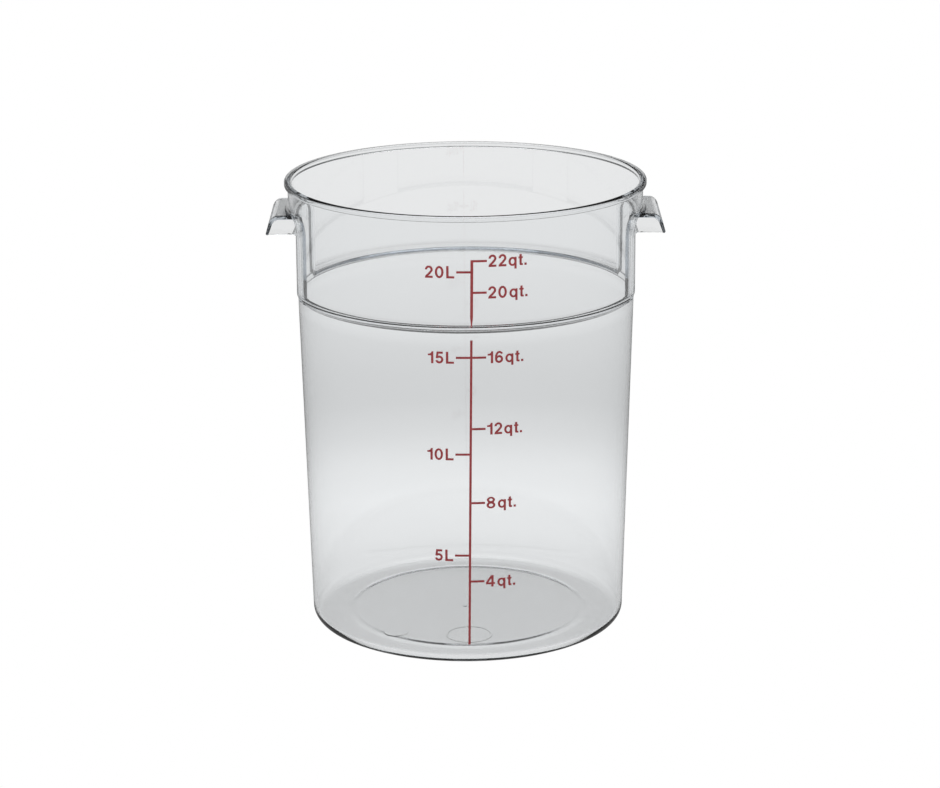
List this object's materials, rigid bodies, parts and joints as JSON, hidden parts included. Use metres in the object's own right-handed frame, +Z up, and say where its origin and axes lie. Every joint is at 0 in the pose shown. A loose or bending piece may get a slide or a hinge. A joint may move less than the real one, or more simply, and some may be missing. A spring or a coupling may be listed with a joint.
{
  "type": "dough proofing container",
  "caption": "Clear round open-top container with a tapered barrel, stepped collar, hook handles over finger pockets and a printed litre and quart scale.",
  "frame": {"origin": "middle of the underside, on the surface it stands on", "axes": "+Z up, the printed scale faces -Y, the handles lie on the X axis"},
  "size_m": [0.332, 0.3032, 0.384],
  "materials": {
    "clear_plastic": "clear, smooth, glossy",
    "ink": "matt screen-printed ink"
  },
  "bodies": {
    "root": {"base": "clear_plastic", "barrel_wall": "clear_plastic", "shoulder_ledge": "clear_plastic", "collar_wall": "clear_plastic", "rim_bead": "clear_plastic", "handle_left": "clear_plastic", "handle_right": "clear_plastic", "scale_line_lower": "ink", "scale_line_upper": "ink", "mark_4qt": "ink", "mark_8qt": "ink", "mark_12qt": "ink", "mark_16qt": "ink", "mark_20qt": "ink", "mark_22qt": "ink", "mark_5l": "ink", "mark_10l": "ink", "mark_15l": "ink", "mark_20l": "ink"}
  },
  "joints": []
}
